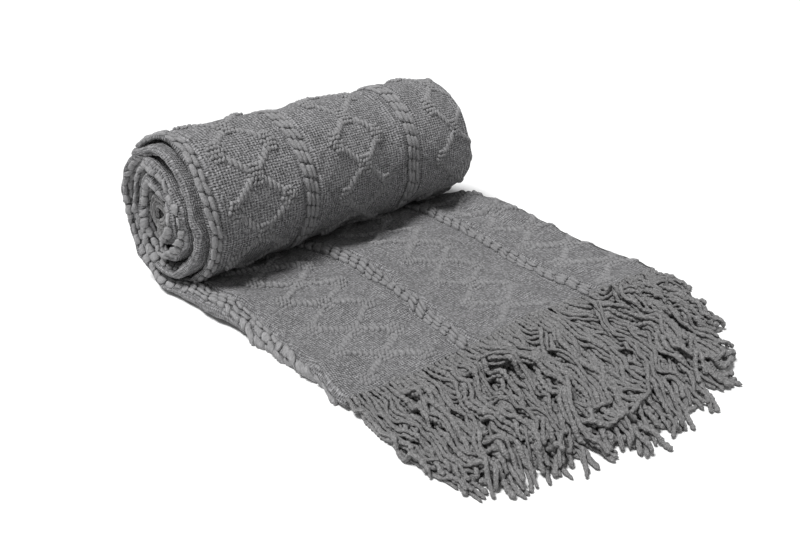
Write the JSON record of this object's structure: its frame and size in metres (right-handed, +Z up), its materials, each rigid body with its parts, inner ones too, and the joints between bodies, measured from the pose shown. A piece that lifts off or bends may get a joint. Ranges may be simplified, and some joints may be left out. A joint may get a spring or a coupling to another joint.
{
  "type": "folded throw blanket",
  "caption": "Grey woven throw folded lengthwise in three and part-rolled, its loose end lying flat in front of the roll, with a long twisted yarn fringe at each hem.",
  "frame": {"origin": "middle of the bottom of the bounding box, on the surface that the throw lies on", "axes": "+X from the roll towards the loose fringed end, +Y along the roll from the set-back selvedge end to the other end, +Z up"},
  "size_m": [0.606, 0.4288, 0.1697],
  "materials": {
    "woven_cloth": "matt open weave of soft acrylic yarn",
    "chain_stitch_yarn": "matt, thick soft yarn in raised chain stitches",
    "fringe_yarn": "matt, two-ply twisted soft yarn"
  },
  "bodies": {
    "root": {"chain_column_inner_far": "chain_stitch_yarn", "chain_column_inner_middle": "chain_stitch_yarn", "chain_column_inner_near_fold": "chain_stitch_yarn", "chain_column_outer_far": "chain_stitch_yarn", "chain_column_outer_middle": "chain_stitch_yarn", "chain_column_outer_selvedge": "chain_stitch_yarn", "fringe_core_1": "fringe_yarn", "fringe_core_2": "fringe_yarn", "fringe_core_3": "fringe_yarn", "fringe_core_4": "fringe_yarn", "fringe_core_5": "fringe_yarn", "fringe_core_6": "fringe_yarn", "fringe_lower_01": "fringe_yarn", "fringe_lower_02": "fringe_yarn", "fringe_lower_03": "fringe_yarn", "fringe_lower_04": "fringe_yarn", "fringe_lower_05": "fringe_yarn", "fringe_lower_06": "fringe_yarn", "fringe_middle_01": "fringe_yarn", "fringe_middle_02": "fringe_yarn", "fringe_middle_03": "fringe_yarn", "fringe_middle_04": "fringe_yarn", "fringe_middle_05": "fringe_yarn", "fringe_middle_06": "fringe_yarn", "fringe_upper_01": "fringe_yarn", "fringe_upper_02": "fringe_yarn", "fringe_upper_03": "fringe_yarn", "fringe_upper_04": "fringe_yarn", "fringe_upper_05": "fringe_yarn", "fringe_upper_06": "fringe_yarn", "fringe_upper_07": "fringe_yarn", "fringe_upper_08": "fringe_yarn", "fringe_upper_09": "fringe_yarn", "fringe_upper_10": "fringe_yarn", "fringe_upper_11": "fringe_yarn", "fringe_upper_12": "fringe_yarn", "woven_panel": "woven_cloth"}
  },
  "joints": []
}
